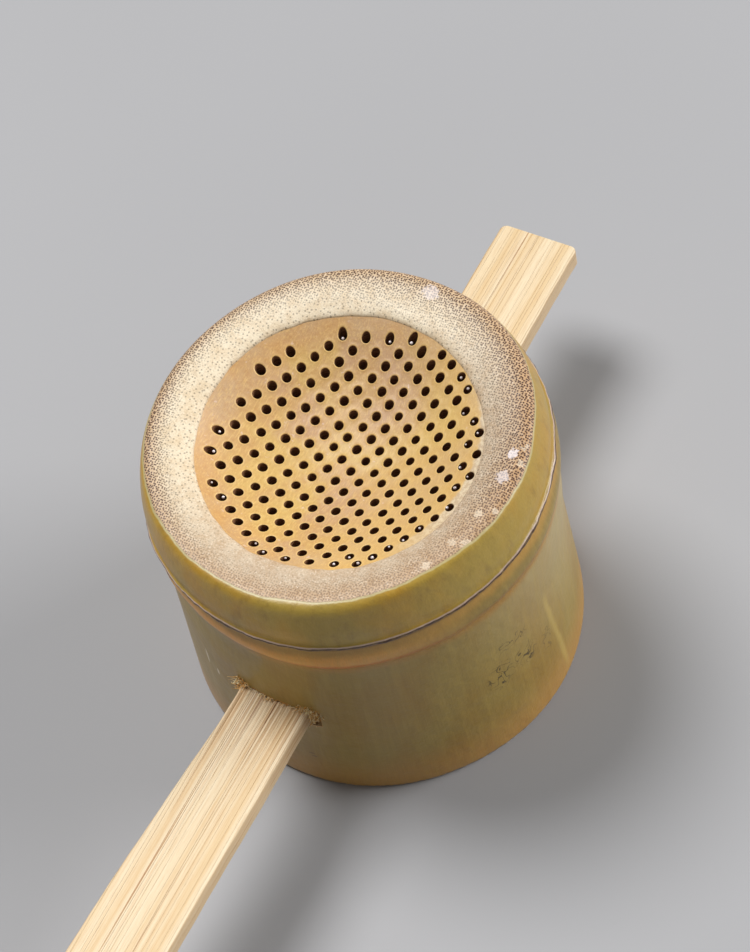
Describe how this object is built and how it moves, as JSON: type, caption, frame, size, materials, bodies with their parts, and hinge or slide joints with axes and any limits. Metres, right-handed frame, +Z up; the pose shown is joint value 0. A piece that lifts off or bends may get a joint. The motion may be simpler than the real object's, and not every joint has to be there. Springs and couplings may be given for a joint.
{
  "type": "tea strainer",
  "caption": "Bamboo tea strainer: an upright culm section whose drilled node is the sieve, with a flat bamboo strip through its skirt as handle and rest.",
  "frame": {"origin": "on the table, midway along the strip; the culm's axis stands at y = +0.035 m", "axes": "+Z up along the culm; Y along the strip, with the grip towards -Y and the short stub towards +Y"},
  "size_m": [0.0649, 0.2, 0.0564],
  "materials": {
    "green_culm": "satin olive-brown bamboo skin with a thin clear varnish",
    "culm_lining": "matte tan bamboo, the inside of the node",
    "split_strip": "matte planed bamboo with fine lengthwise fibres"
  },
  "bodies": {
    "cup": {"culm_wall": "green_culm", "node_diaphragm": "culm_lining"},
    "handle": {"handle_strip": "split_strip"}
  },
  "joints": [
    {"name": "handle_slide", "type": "slide", "parent": "cup", "child": "handle", "axis": [0, -1, 0], "range_m": [-0.016, 0.03]}
  ]
}
